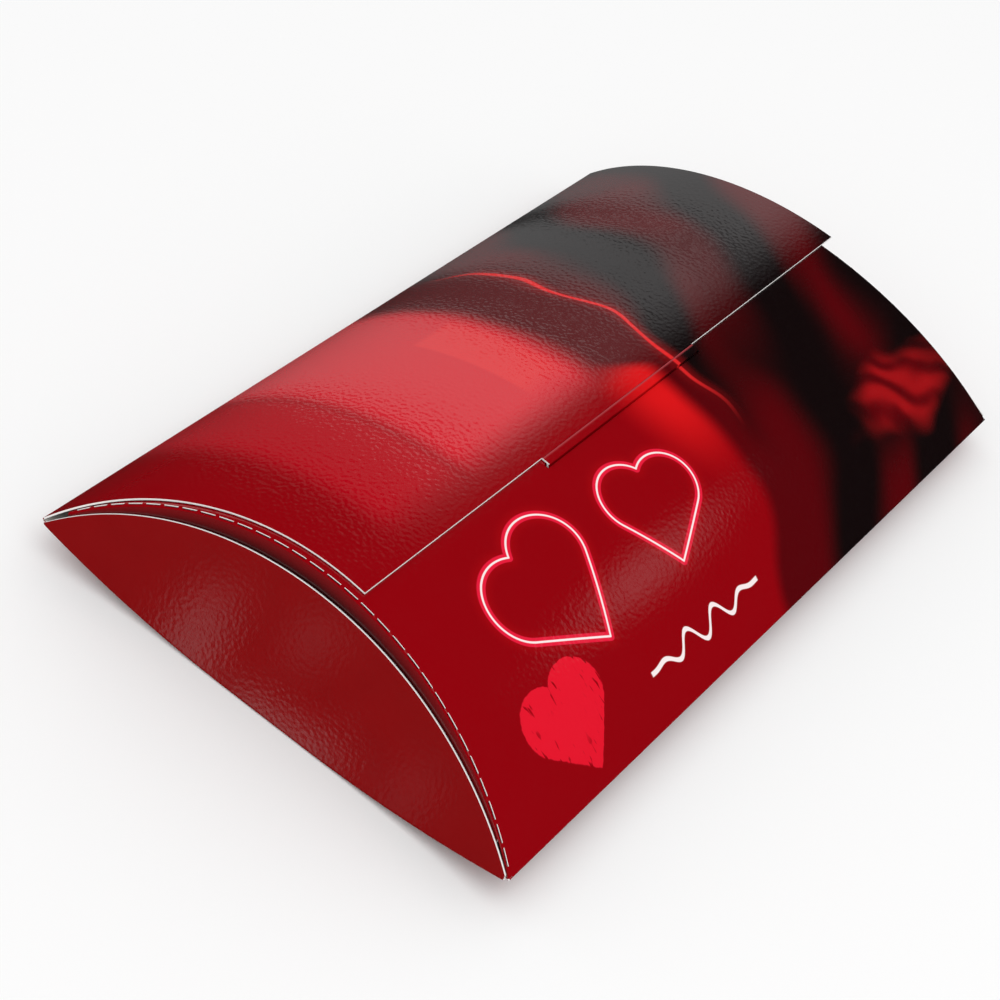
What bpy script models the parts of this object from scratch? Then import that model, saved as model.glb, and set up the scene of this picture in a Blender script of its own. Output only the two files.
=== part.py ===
"""A pillow box for folded clothing, made of one die-cut sheet of laminated board.

The sheet is folded at two long creases and closed without glue. The bottom panel lies on the table. The
top panel arches back from the front crease, and the lid arches forward over it from the rear crease. A
tab on the lid's front edge goes down through a slot in the top panel. Two curved flaps close each end: an
inner one, folded down at the top panel's perforated crease, and an outer one, folded up over it at the
bottom panel's crease.

Metres. X runs along the box, Y from the front crease to the rear one, Z up from the table. Every sheet is
drawn along the middle of its board and then thickened to both sides.
"""

import math

import bmesh
import bpy
from mathutils import Vector

# Overall size
box_length = 0.242
box_width = 0.151
box_height = 0.044

# Board, and how closely its layers lie
board = 0.00045
fit_gap = 0.0003
crease_gap = 0.0003
nest_gap = 0.0005

# Long creases and the flat strip that the box stands on
crease_height = 0.0106
resting_width = 0.024

# Curved end creases: how far each one bows in at mid width
top_sag = 0.013
bottom_sag = 0.0015

# Top panel: its free edge under the lid, and the cuts and bridges of its perforated creases
hidden_edge_setback = 0.009
perforation_cut = 0.0041
perforation_bridge = 0.0013

# Lid: how far it reaches in front of the middle, and where its cut ends lie beside the top creases
lid_reach = 0.012
lid_near_inset = 0.0026
lid_far_overhang = 0.005

# Lock tab and its slot
tab_width = 0.070
tab_step = 0.0022
tab_depth = 0.012
tab_corner = 0.005
tab_bend_lift = 0.0004
slot_side_clearance = 0.00045
slot_end_clearance = 0.0006

# End flaps
outer_edge_drop = 0.0045
outer_corner_relief = 0.0012
inner_depth = 0.023
inner_end_relief = 0.007

# Fineness of the curves
facet = 0.0065
least_step_share = 0.25
corner_steps = 3
sharp_angle = math.radians(30)
merge_distance = 0.000001

# Printed board, as linear colours with their roughness
print_red = (0.290, 0.003, 0.008)
print_deep_red = (0.235, 0.002, 0.006)
print_flap_red = (0.225, 0.006, 0.007)
print_maroon = (0.045, 0.003, 0.003)
gloss_roughness = 0.22
satin_roughness = 0.34


def clear_scene():
    for old in list(bpy.data.objects):
        bpy.data.objects.remove(old)


def make_material(name, colour, roughness):
    material = bpy.data.materials.new(name)
    material.use_nodes = True
    shader = material.node_tree.nodes["Principled BSDF"]
    shader.inputs["Base Color"].default_value = (*colour, 1)
    shader.inputs["Roughness"].default_value = roughness
    shader.inputs["Metallic"].default_value = 0
    material.diffuse_color = (*colour, 1)
    return material


class Arch:
    """A circular arch across the box. Its angle is counted from straight up, and rises towards the rear."""

    def __init__(self, centre_z, radius):
        self.centre_z = centre_z
        self.radius = radius

    def angle_at_width(self, y):
        return math.asin(y / self.radius)

    def point(self, angle):
        return self.radius * math.sin(angle), self.centre_z + self.radius * math.cos(angle)

    def height(self, y):
        return self.point(self.angle_at_width(y))[1]

    def points(self, first, last):
        """Points from one angle to another: both ends, and the whole steps between that clear them."""
        nearest = math.ceil(first / arch_step + least_step_share)
        furthest = math.floor(last / arch_step - least_step_share)
        between = [n * arch_step for n in range(nearest, furthest + 1)]
        return [self.point(angle) for angle in (first, *between, last)]


class Section:
    """The line that a sheet follows across the box, as (y, z) points, measured by the length along it."""

    def __init__(self, points):
        self.points = points
        self.stations = [0]
        for (y0, z0), (y1, z1) in zip(points, points[1:]):
            self.stations.append(self.stations[-1] + math.hypot(y1 - y0, z1 - z0))
        self.length = self.stations[-1]

    def place(self, along):
        """The point that lies this far along the line."""
        last = len(self.points) - 2
        n = next((n for n in range(last) if along <= self.stations[n + 1]), last)
        share = (along - self.stations[n]) / (self.stations[n + 1] - self.stations[n])
        (y0, z0), (y1, z1) = self.points[n], self.points[n + 1]
        return y0 + share * (y1 - y0), z0 + share * (z1 - z0)


def flat_blank(name, outline, holes=()):
    """A flat sheet cut to an outline, as a mesh in the XY plane."""
    curve = bpy.data.curves.new(name, "CURVE")
    curve.dimensions = "2D"
    curve.fill_mode = "BOTH"
    for ring in (outline, *holes):
        spline = curve.splines.new("POLY")
        spline.points.add(len(ring) - 1)
        spline.use_cyclic_u = True
        for point, (x, y) in zip(spline.points, ring):
            point.co = (x, y, 0, 1)
    drawn = bpy.data.objects.new(name + "_outline", curve)
    bpy.context.scene.collection.objects.link(drawn)
    graph = bpy.context.evaluated_depsgraph_get()
    mesh = bpy.data.meshes.new_from_object(drawn.evaluated_get(graph))
    bpy.data.objects.remove(drawn)
    bpy.data.curves.remove(curve)
    mesh.name = name
    return mesh


def finish_sheet(name, mesh, material, origin):
    """Makes a node of a mesh drawn along the middle of the board, with its origin on its hinge."""
    for vertex in mesh.vertices:
        vertex.co -= Vector(origin)
    mesh.shade_smooth()
    mesh.set_sharp_from_angle(angle=sharp_angle)
    mesh.materials.clear()
    mesh.materials.append(material)
    sheet = bpy.data.objects.new(name, mesh)
    sheet.location = origin
    parts.objects.link(sheet)
    solidify = sheet.modifiers.new("board", "SOLIDIFY")
    solidify.thickness = board
    solidify.offset = 0
    solidify.use_even_offset = True
    return sheet


def rolled_sheet(name, outline, section, material, origin=(0, 0, 0), holes=()):
    """A sheet cut flat, with Y along the section, and then rolled to follow it."""
    mesh = flat_blank(name, outline, holes)
    shape = bmesh.new()
    shape.from_mesh(mesh)
    bmesh.ops.remove_doubles(shape, verts=shape.verts, dist=merge_distance)
    for station in section.stations[1:-1]:
        everything = shape.verts[:] + shape.edges[:] + shape.faces[:]
        cut = {"plane_co": (0, station, 0), "plane_no": (0, 1, 0)}
        bmesh.ops.bisect_plane(shape, geom=everything, dist=merge_distance, **cut)
    for vertex in shape.verts:
        vertex.co.y, vertex.co.z = section.place(vertex.co.y)
    bmesh.ops.recalc_face_normals(shape, faces=shape.faces)
    shape.to_mesh(mesh)
    shape.free()
    return finish_sheet(name, mesh, material, origin)


def ruled_sheet(name, lower, upper, material, origin):
    """A sheet of straight lines from each point of one edge to its partner on the other."""
    shape = bmesh.new()
    pairs = [(shape.verts.new(a), shape.verts.new(b)) for a, b in zip(lower, upper)]
    for (a0, b0), (a1, b1) in zip(pairs, pairs[1:]):
        shape.faces.new((a0, a1, b1, b0))
    bmesh.ops.triangulate(shape, faces=shape.faces)
    mesh = bpy.data.meshes.new(name)
    shape.to_mesh(mesh)
    shape.free()
    return finish_sheet(name, mesh, material, origin)


# Arches of the lid and of the top panel that it lies on, with one centre and the same steps
half_board = board / 2
layer = board + fit_gap
bottom_level = half_board
lid_rise = box_height - half_board - crease_height
fold_slope = 2 * math.atan((crease_height - bottom_level) / ((box_width - resting_width) / 2))
half_width = box_width / 2 - half_board * math.sin(fold_slope)
lid_radius = (half_width**2 + lid_rise**2) / (2 * lid_rise)
arch_centre_z = box_height - half_board - lid_radius
arch_step = facet / lid_radius
lid_arch = Arch(arch_centre_z, lid_radius)
top_arch = Arch(arch_centre_z, lid_radius - layer)

rear_crease = (half_width, crease_height)
front_crease = (-half_width, top_arch.height(-half_width))
crease_setback = board + crease_gap
top_crown_z = top_arch.height(0)


def bottom_arc(crease, side):
    """Points of the curve from the flat strip up to a long crease, on the side where Y has this sign."""
    run = abs(crease[0]) - resting_width / 2
    rise = crease[1] - bottom_level
    radius = (run**2 + rise**2) / (2 * rise)
    full = 2 * math.atan2(rise, run)
    steps = max(2, round(radius * full / facet))
    points = []
    for n in range(steps + 1):
        angle = full * n / steps
        y = resting_width / 2 + radius * math.sin(angle)
        points.append((side * y, bottom_level + radius * (1 - math.cos(angle))))
    return points


bottom_front = bottom_arc(front_crease, -1)
bottom_rear = bottom_arc(rear_crease, 1)
bottom_section = Section(bottom_front[::-1] + bottom_rear)


def bottom_height(y):
    """Height of the middle of the bottom panel's board."""
    points = bottom_section.points
    last = len(points) - 2
    n = next((n for n in range(last) if y <= points[n + 1][0]), last)
    (y0, z0), (y1, z1) = points[n], points[n + 1]
    return z0 + (y - y0) / (y1 - y0) * (z1 - z0)


def bottom_bow(y):
    """How far down the bottom crease has gone at this width: 0 at the corners and 1 on the flat strip."""
    crease_z = rear_crease[1] if y > 0 else front_crease[1]
    return (crease_z - bottom_height(y)) / (crease_z - bottom_level)


def top_bow(y):
    """How far up the top crease has gone at this width: 0 at the corners and 1 at the crown."""
    return max(0, (top_arch.height(y) - front_crease[1]) / (top_crown_z - front_crease[1]))


# Distances from the middle of the box to each layer of an end, at its corners
outer_flap_x = box_length / 2 - half_board
inner_flap_x = outer_flap_x - board - nest_gap
bottom_end_x = outer_flap_x - half_board - crease_gap
top_end_x = inner_flap_x + half_board


def bottom_end(y):
    return bottom_end_x - bottom_sag * bottom_bow(y)


def top_end(y):
    return top_end_x - top_sag * top_bow(y)


def plain_outline(section, near_end, far_end):
    """Outline of a sheet whose ends lie at these distances from the middle of the box."""
    near = []
    far = []
    for station, (y, _) in zip(section.stations, section.points):
        near.append((-near_end(y), station))
        far.append((far_end(y), station))
    return far + near[::-1]


def perforated_edge(section, side):
    """The top panel's end edge: cuts that bare the flap's edge below, with bridges left between them."""
    pitch = perforation_cut + perforation_bridge
    count = max(1, math.floor((section.length - perforation_bridge) / pitch))
    margin = (section.length - count * pitch - perforation_bridge) / 2
    marks = [0]
    for n in range(count):
        start = margin + perforation_bridge + n * pitch
        marks += [start, start + perforation_cut]
    marks.append(section.length)
    edge = []
    for n, (first, last) in enumerate(zip(marks, marks[1:])):
        inset = board if n % 2 else 0
        between = [s for s in section.stations if first + merge_distance < s < last - merge_distance]
        for along in [first, *between, last]:
            y = section.place(along)[0]
            edge.append((side * (top_end(y) - inset), along))
    return edge


def add_bottom_panel():
    outline = plain_outline(bottom_section, bottom_end, bottom_end)
    material = make_material("red_print_bottom", print_deep_red, gloss_roughness)
    rolled_sheet("bottom_panel", outline, bottom_section, material)


# Lid's front edge, the slot below it and the circle on which the tab swings out of the slot
lid_front_angle = lid_arch.angle_at_width(-lid_reach)
tab_crease = lid_arch.point(lid_front_angle)
slot_angle = lid_front_angle - tab_step / top_arch.radius
slot_centre = top_arch.point(slot_angle)
swing_y = slot_centre[0] - rear_crease[0]
swing_z = slot_centre[1] - rear_crease[1]
swing_radius = math.hypot(swing_y, swing_z)
swing_start = math.atan2(swing_z, -swing_y)


def swing_point(lift):
    """A point on the tab's circle about the rear crease, this far above the slot along the circle."""
    angle = swing_start + lift / swing_radius
    return rear_crease[0] - swing_radius * math.cos(angle), rear_crease[1] + swing_radius * math.sin(angle)


def add_top_panel():
    front = top_arch.angle_at_width(-half_width) + crease_setback / top_arch.radius
    rear = top_arch.angle_at_width(half_width) - hidden_edge_setback / top_arch.radius
    section = Section(top_arch.points(front, rear))
    outline = perforated_edge(section, 1) + perforated_edge(section, -1)[::-1]
    slot_along = (slot_angle - front) * top_arch.radius
    half_slot = half_board + slot_side_clearance
    half_length = tab_width / 2 + slot_end_clearance
    slot = []
    for side_x, side_y in ((-1, -1), (1, -1), (1, 1), (-1, 1)):
        slot.append((side_x * half_length, slot_along + side_y * half_slot))
    material = make_material("red_print_front", print_red, gloss_roughness)
    rolled_sheet("top_panel", outline, section, material, holes=[slot])


def lid_bow(y):
    return (lid_arch.height(y) - crease_height) / lid_rise


def add_lid():
    rear = lid_arch.angle_at_width(half_width) - crease_setback / lid_radius
    section = Section(lid_arch.points(lid_front_angle, rear))

    def near_end(y):
        return top_end_x - (top_sag + lid_near_inset) * lid_bow(y)

    def far_end(y):
        return top_end_x - (top_sag - lid_far_overhang) * lid_bow(y)

    material = make_material("red_print_lid", print_red, gloss_roughness)
    outline = plain_outline(section, near_end, far_end)
    return rolled_sheet("lid", outline, section, material, origin=(0, *rear_crease))


def add_lock_tab(lid):
    """Steps forward from the lid's edge, bends and follows its circle down through the slot."""
    bend_angle = lid_front_angle - tab_step / lid_radius
    step = lid_arch.points(bend_angle, lid_front_angle - crease_gap / lid_radius)
    dive_steps = max(2, math.ceil(2 * tab_depth / facet))
    dive = []
    for n in range(dive_steps + 1):
        dive.append(swing_point(tab_bend_lift - tab_depth * n / dive_steps))
    section = Section(dive[::-1] + step)
    tip = []
    for n in range(corner_steps + 1):
        angle = math.pi / 2 * n / corner_steps
        across = tab_width / 2 - tab_corner + tab_corner * math.sin(angle)
        tip.append((across, tab_corner * (1 - math.cos(angle))))
    side = tip + [(tab_width / 2, section.length)]
    outline = side + [(-x, along) for x, along in side[::-1]]
    material = make_material("red_print_tab", print_red, gloss_roughness)
    tab = rolled_sheet("lock_tab", outline, section, material, origin=(0, *tab_crease))
    tab.parent = lid
    tab.location -= lid.location


def flap_widths(relief):
    """Widths at which an end flap is drawn, from its front tip to its rear tip."""
    limit = half_width - relief
    first = top_arch.angle_at_width(-limit)
    return [y for y, _ in top_arch.points(first, -first)]


def wall_foot(y, x):
    """Where the end wall meets the bottom panel, for a wall at this distance from the middle of the box."""
    return Vector((x - bottom_sag * bottom_bow(y), y, bottom_height(y)))


def wall_head(y, x):
    """Where the end wall meets the top panel."""
    return Vector((x - top_sag * top_bow(y), y, top_arch.height(y)))


def mirrored(points, side):
    return [Vector((side * p.x, p.y, p.z)) for p in points]


def add_outer_flap(name, side):
    lower = []
    upper = []
    for y in flap_widths(outer_corner_relief):
        foot = wall_foot(y, outer_flap_x)
        head = wall_head(y, outer_flap_x)
        lower.append(foot)
        upper.append(head - (head - foot).normalized() * outer_edge_drop * top_bow(y))
    hinge = wall_foot(0, outer_flap_x)
    material = make_material("red_print_" + name, print_flap_red, satin_roughness)
    ruled_sheet(name, mirrored(lower, side), mirrored(upper, side), material, mirrored([hinge], side)[0])


def add_inner_flap(name, side):
    lower = []
    upper = []
    for y in flap_widths(inner_end_relief):
        foot = wall_foot(y, inner_flap_x)
        head = wall_head(y, inner_flap_x)
        down = (foot - head).normalized()
        slope = math.cos(top_arch.angle_at_width(y))
        upper.append(head + down * (half_board + crease_gap) / slope)
        lower.append(head + down * inner_depth * top_bow(y))
    hinge = wall_head(0, inner_flap_x)
    material = make_material("maroon_print_" + name, print_maroon, satin_roughness)
    ruled_sheet(name, mirrored(lower, side), mirrored(upper, side), material, mirrored([hinge], side)[0])


clear_scene()
parts = bpy.data.collections.new("pillow_box")
bpy.context.scene.collection.children.link(parts)

add_bottom_panel()
add_top_panel()
add_lock_tab(add_lid())
for end_name, end_side in (("left", -1), ("right", 1)):
    add_outer_flap("outer_end_flap_" + end_name, end_side)
    add_inner_flap("inner_end_flap_" + end_name, end_side)
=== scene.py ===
"""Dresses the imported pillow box: smooth board with white cut edges, folds, perforations and gloss print.

Metres. X runs along the box, Y from the front crease to the rear one, Z up from the table. Each sheet is
modelled along the middle of its board and then thickened to both sides. Its sheet map measures it in
metres, so that the print follows the curve of the board.
"""

import math

import bpy
from mathutils import Euler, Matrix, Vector


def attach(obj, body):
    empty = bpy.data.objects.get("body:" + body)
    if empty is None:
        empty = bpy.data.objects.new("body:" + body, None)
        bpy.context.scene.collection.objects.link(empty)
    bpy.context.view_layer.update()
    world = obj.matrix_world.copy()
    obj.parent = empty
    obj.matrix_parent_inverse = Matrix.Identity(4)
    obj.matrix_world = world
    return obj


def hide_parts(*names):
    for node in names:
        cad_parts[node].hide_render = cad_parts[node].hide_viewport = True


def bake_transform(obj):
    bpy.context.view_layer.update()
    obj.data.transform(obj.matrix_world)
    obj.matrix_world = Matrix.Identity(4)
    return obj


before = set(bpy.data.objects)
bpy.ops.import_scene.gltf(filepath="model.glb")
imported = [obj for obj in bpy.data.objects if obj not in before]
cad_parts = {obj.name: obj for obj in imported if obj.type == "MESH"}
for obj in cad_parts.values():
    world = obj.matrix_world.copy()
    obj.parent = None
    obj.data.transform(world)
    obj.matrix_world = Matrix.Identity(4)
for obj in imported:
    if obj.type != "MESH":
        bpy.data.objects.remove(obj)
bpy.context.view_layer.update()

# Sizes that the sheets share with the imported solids
box_length = 0.242
box_width = 0.151
box_height = 0.044
board = 0.00045
fit_gap = 0.0003
crease_gap = 0.0003
nest_gap = 0.0005
crease_height = 0.0106
resting_width = 0.024
top_sag = 0.013
bottom_sag = 0.0015
hidden_edge_setback = 0.009
perforation_cut = 0.0041
perforation_bridge = 0.0013
lid_reach = 0.012
lid_near_inset = 0.0026
lid_far_overhang = 0.005
tab_width = 0.070
tab_step = 0.0022
tab_depth = 0.012
tab_corner = 0.005
tab_bend_lift = 0.0004
slot_side_clearance = 0.00045
slot_end_clearance = 0.0006
outer_edge_drop = 0.0045
outer_corner_relief = 0.0012
inner_depth = 0.023
inner_end_relief = 0.007

# Folds: radius at the middle of the board, and how far an end fold reaches in and down from its crease
fold_radius = 0.0003
fold_steps = 6
fold_reach = 0.0009
fold_drop = 0.000525

# Perforation: the rows of the fold that a cut takes out, and how far down its core is in shadow
cut_rows = 4
cut_shares = (0.25, 0.5, 0.75)
slit_shade = 0.00006

# How much of the print the die takes off along a cut, and the hairline between the lid's edge and the tab
bared_edge = 0.00008
tab_hairline = 0.000075

# Fineness of the curves
merge_distance = 0.000001
arch_sides = 420
flap_step = 0.0015
flap_rows = 18
fine_row = 0.00012
widest_fine_share = 0.2
tab_columns = 8
tab_step_rows = 3
tab_drop_rows = 6
tab_corner_steps = 8
tab_corner_trim = 0.96
crease_angle = math.radians(30)

# Places in a sheet's material slots, and where a flap's further runs of three slots start
PRINT, BACK, EDGE = 0, 1, 2
JOINED, BARED = 3, 6


class Arch:
    """A circular arch across the box, about an axis along X."""

    def __init__(self, centre_z, radius):
        self.centre_z = centre_z
        self.radius = radius

    def height(self, y):
        return self.centre_z + math.sqrt(self.radius**2 - y**2)

    def angle(self, y):
        return math.asin(y / self.radius)

    def width_at(self, y, along):
        """The width that lies this far along the arch from the width given."""
        return self.radius * math.sin(self.angle(y) + along / self.radius)


half_board = board / 2
bottom_level = half_board
lid_rise = box_height - half_board - crease_height
fold_slope = 2 * math.atan((crease_height - bottom_level) / ((box_width - resting_width) / 2))
half_width = box_width / 2 - half_board * math.sin(fold_slope)
lid_radius = (half_width**2 + lid_rise**2) / (2 * lid_rise)
arch_centre_z = box_height - half_board - lid_radius
lid_arch = Arch(arch_centre_z, lid_radius)
top_arch = Arch(arch_centre_z, lid_radius - board - fit_gap)
front_height = top_arch.height(-half_width)
top_rise = top_arch.height(0) - front_height

outer_flap_x = box_length / 2 - half_board
inner_flap_x = outer_flap_x - board - nest_gap
bottom_end_x = outer_flap_x - half_board - crease_gap
top_end_x = inner_flap_x + half_board

# What the bottom sheet leaves to the crease strips that go on from its ends
end_trim = fold_reach - (outer_flap_x - bottom_end_x)


class BottomCurve:
    """One side of the bottom panel: an arc that rises from the flat strip to a long crease."""

    def __init__(self, side, crease_z):
        self.side = side
        self.run = half_width - resting_width / 2
        self.rise = crease_z - bottom_level
        self.radius = (self.run**2 + self.rise**2) / (2 * self.rise)
        self.slope = 2 * math.atan2(self.rise, self.run)

    def height(self, y):
        out = max(0, abs(y) - resting_width / 2)
        return bottom_level + self.radius - math.sqrt(self.radius**2 - out**2)


bottom_front = BottomCurve(-1, front_height)
bottom_rear = BottomCurve(1, crease_height)


def bottom_curve(y):
    return bottom_rear if y > 0 else bottom_front


def bottom_height(y):
    return bottom_curve(y).height(y)


def bottom_bow(y):
    """How far down the bottom crease has gone at this width: 0 at the corners and 1 on the flat strip."""
    rise = bottom_curve(y).rise
    return (bottom_level + rise - bottom_height(y)) / rise


def top_bow(y):
    """How far up the top crease has gone at this width: 0 at the corners and 1 at the crown."""
    return max(0, (top_arch.height(y) - front_height) / top_rise)


def wall_foot(y, x):
    return Vector((x - bottom_sag * bottom_bow(y), y, bottom_height(y)))


def wall_head(y, x):
    return Vector((x - top_sag * top_bow(y), y, top_arch.height(y)))


def wall_up(y, x):
    """The way up an end wall at this width."""
    return (wall_head(y, x) - wall_foot(y, x)).normalized()


def bend_points(corner, first, last, steps):
    """A round bend at a corner, between straight runs that leave it in two directions."""
    half = math.acos(max(-1, min(1, first.dot(last)))) / 2
    tangent = fold_radius / math.tan(half)
    centre = corner + (first + last).normalized() * (fold_radius / math.sin(half))
    start = (corner + first * tangent - centre).normalized()
    end = (corner + last * tangent - centre).normalized()
    return [centre + start.slerp(end, n / steps) * fold_radius for n in range(steps + 1)]


# Tools of the bench

def select_only(piece):
    bpy.ops.object.select_all(action="DESELECT")
    piece.select_set(True)
    bpy.context.view_layer.objects.active = piece


def start_editing(piece):
    select_only(piece)
    bpy.ops.object.mode_set(mode="EDIT")
    bpy.ops.mesh.select_all(action="SELECT")


def stop_editing():
    bpy.ops.object.mode_set(mode="OBJECT")


def name_piece(name):
    piece = bpy.context.object
    piece.name = name
    piece.data.name = name
    bpy.ops.object.transform_apply(location=True, rotation=True, scale=True)
    return piece


def cut_away(point, outward):
    """Cuts the sheet being edited at a plane, and drops what lies on its outward side."""
    bpy.ops.mesh.select_all(action="SELECT")
    bpy.ops.mesh.bisect(plane_co=point, plane_no=outward, clear_outer=True)


def score(point, across):
    """Cuts new edges into the sheet being edited, and keeps both sides."""
    bpy.ops.mesh.select_all(action="SELECT")
    bpy.ops.mesh.bisect(plane_co=point, plane_no=across)


def pick(piece, kind, wanted):
    """Starts editing the piece with only the wanted vertices, edges or faces selected."""
    start_editing(piece)
    bpy.ops.mesh.select_mode(type=kind)
    bpy.ops.mesh.select_all(action="DESELECT")
    stop_editing()
    elements = {"VERT": piece.data.vertices, "EDGE": piece.data.edges, "FACE": piece.data.polygons}
    for element in elements[kind]:
        element.select = wanted(element)
    bpy.ops.object.mode_set(mode="EDIT")


def drop_faces(piece, unwanted):
    """Deletes the faces whose middle the test picks out."""
    pick(piece, "FACE", lambda face: unwanted(face.center))
    bpy.ops.mesh.delete(type="FACE")
    bpy.ops.mesh.select_mode(type="VERT")
    stop_editing()


def roll_sheet(name, arch):
    """A sheet rolled on an arch, as long as the box: a fine tube, cut off below the long creases."""
    bpy.ops.object.select_all(action="DESELECT")
    bpy.ops.mesh.primitive_cylinder_add(
        vertices=arch_sides, radius=arch.radius, depth=box_length, end_fill_type="NOTHING",
        location=(0, 0, arch.centre_z), rotation=(0, math.pi / 2, 0))
    sheet = name_piece(name)
    start_editing(sheet)
    cut_away((0, 0, bottom_level), (0, 0, -1))
    return sheet


def lay_grid(name, columns, rows, place, is_hole=None):
    """A grid sheet with a vertex at place(column, row) for each column and row, less its holes."""
    bpy.ops.object.select_all(action="DESELECT")
    across = columns - 1
    up = rows - 1
    bpy.ops.mesh.primitive_grid_add(x_subdivisions=across, y_subdivisions=up, size=1)
    sheet = name_piece(name)
    if is_hole:
        drop_faces(sheet, lambda point: is_hole(int((point.x + 0.5) * across), int((point.y + 0.5) * up)))
    for vertex in sheet.data.vertices:
        column = round((vertex.co.x + 0.5) * across)
        row = round((vertex.co.y + 0.5) * up)
        vertex.co = place(column, row)
    return sheet


def face_outward(sheet, outward):
    """Turns the sheet so that its printed side looks the way given, at most of its faces."""
    sheet.data.update()
    lean = sum(face.normal.dot(outward(face.center)) for face in sheet.data.polygons)
    if lean < 0:
        start_editing(sheet)
        bpy.ops.mesh.flip_normals()
        stop_editing()


def map_sheet(sheet, measure):
    """Gives the sheet its map: for each corner of a face, where it lies on the flat board in metres."""
    for old in list(sheet.data.uv_layers):
        sheet.data.uv_layers.remove(old)
    layer = sheet.data.uv_layers.new(name="sheet_map")
    for loop in sheet.data.loops:
        layer.data[loop.index].uv = measure(sheet.data.vertices[loop.vertex_index].co)


def add_thickness(sheet):
    """Thickens a sheet to both sides, with the next two finishes of its run on its back and its rim."""
    thickness = sheet.modifiers.new("board", "SOLIDIFY")
    thickness.thickness = board
    thickness.offset = 0
    thickness.material_offset = BACK
    thickness.material_offset_rim = EDGE
    return thickness


def make_board(sheet, print_finish, is_cut, core, keep_even=True):
    """Thickens a sheet to board: print outside, a bare back, and the core along its cut edges.

    Where an edge isn't cut, the next sheet goes on from it, and it keeps the print.
    """
    for finish in (print_finish, bare_back, core):
        sheet.data.materials.append(finish)
    add_thickness(sheet).use_even_offset = keep_even
    select_only(sheet)
    bpy.ops.object.modifier_apply(modifier="board")
    printed = set()
    cut = set()
    for face in sheet.data.polygons:
        if face.material_index == EDGE and not is_cut(face.center):
            face.material_index = PRINT
        elif face.material_index == EDGE:
            cut.update(face.edge_keys)
        elif face.material_index == PRINT:
            printed.update(face.edge_keys)
    bevel_edges(sheet, printed & cut)
    bpy.ops.object.shade_smooth_by_angle(angle=crease_angle)


def make_bending_board(sheet, print_finish, columns):
    """Leaves a flap's thickness as a live modifier, added on top of whatever shape it is given, so that its
    print stays outside.

    The row along the crease keeps its print round the rim, and the row along the cut has its print taken off.
    """
    for front, rim in ((print_finish, cut_edge), (print_finish, print_finish), (cut_edge, cut_edge)):
        for finish in (front, bare_back, rim):
            sheet.data.materials.append(finish)
    for face in sheet.data.polygons:
        row = min(face.vertices) // columns
        if row == 0:
            face.material_index = JOINED
        elif row == flap_rows - 2:
            face.material_index = BARED
    add_thickness(sheet)
    select_only(sheet)
    bpy.ops.object.shade_smooth()


def bevel_edges(sheet, keys):
    """Takes the print off along these edges, as the die does, so that the core shows from above."""
    pick(sheet, "EDGE", lambda edge: edge.key in keys)
    bpy.ops.mesh.bevel(offset=bared_edge, segments=1, affect="EDGES", material=EDGE)
    bpy.ops.mesh.select_mode(type="VERT")
    bpy.ops.mesh.select_all(action="SELECT")
    bpy.ops.mesh.remove_doubles(threshold=merge_distance)
    stop_editing()


def away_from_middle(point):
    """Outward, for panels and long folds: away from a line along the box at a third of its height."""
    return Vector((0, point.y, point.z - box_height / 3))


def arch_measure(arch):
    """Measures a rolled sheet: along the box, and round the arch from its crown."""
    def measure(point):
        return point.x, arch.radius * math.atan2(point.y, point.z - arch.centre_z)
    return measure


# Print and board, as linear colours: the press's inks, save the reds noted below as painted highlight
red = (0.287, 0.0006, 0.0037)
# Painted highlight: the lighter red of the lid's sheen
lit_red = (0.65, 0.002, 0.014)
# glow_red: the neon hearts' printed halo, and the painted highlight that glows on the front
glow_red = (0.73, 0.007, 0.009)
line_red = (0.80, 0.020, 0.022)
neon_red = (0.82, 0.012, 0.045)
stamp_red = (0.80, 0.008, 0.026)
neon_white = (1.0, 0.86, 0.86)
# A pale line on the tab's fold: film pressed pale, with a painted highlight along the crease
pale_fold_highlight = (0.42, 0.060, 0.070)
night = (0.006, 0.0026, 0.0028)
dark_maroon = (0.098, 0.0012, 0.0030)
satin_red = (0.36, 0.006, 0.008)
flap_red = (0.265, 0.0036, 0.0046)
strip_red = (0.20, 0.0030, 0.0050)
edge_white = (0.97, 0.95, 0.93)
back_white = (0.70, 0.67, 0.63)

# Roughness of the gloss film and of bare board, and the size and depth of what breaks their surface
film_ior = 1.5
art_film = 0.085
plain_film = 0.13
inner_film = 0.20
bare_roughness = 0.75
ripple_size = 0.0012
ripple_detail = 0.6
art_ripple = 0.000050
flap_ripple = 0.000036
plain_ripple = 0.000030
cloud_size = 0.009
cloud_range = 0.04
mottle_size = 0.012
mottle_shade = 0.86
back_fibre = 0.0007
edge_fibre = 0.0003
fibre_shade = 0.90
fibre_depth = 0.000030

# Places on the print, in metres on the sheet map: along from the box's middle, and back from the crown
large_heart_tip = (-0.057, -0.057)
small_heart_tip = (-0.022, -0.055)
stamp_tip = (-0.0800, -0.0805)
flourish_line = -0.0715
flourish_swing = 0.0030
flourish_pitch = 0.0125
# The painted highlight that glows on the front: its middle, and how it is stretched
glow_middle = (0.0125, -0.0088, 0)
glow_stretch = (1.0, 0.55, 0)
seam_line = 0.0265
cloth_fold_pitch = 0.052
satin_middle = (0.091, -0.060, 0)
satin_tightness = (34, 75, 0)
satin_fold_pitch = 0.0125
tab_crease_line = lid_radius * lid_arch.angle(-lid_reach)
tab_crease_width = 0.0008

# How strongly the fainter lights of the print show
tube_halo_share = 0.12
seam_halo_share = 0.35
dim_field_share = 0.47
inner_field_share = 0.55


def dimmed(colour, share):
    return tuple(share * part for part in colour)


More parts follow.
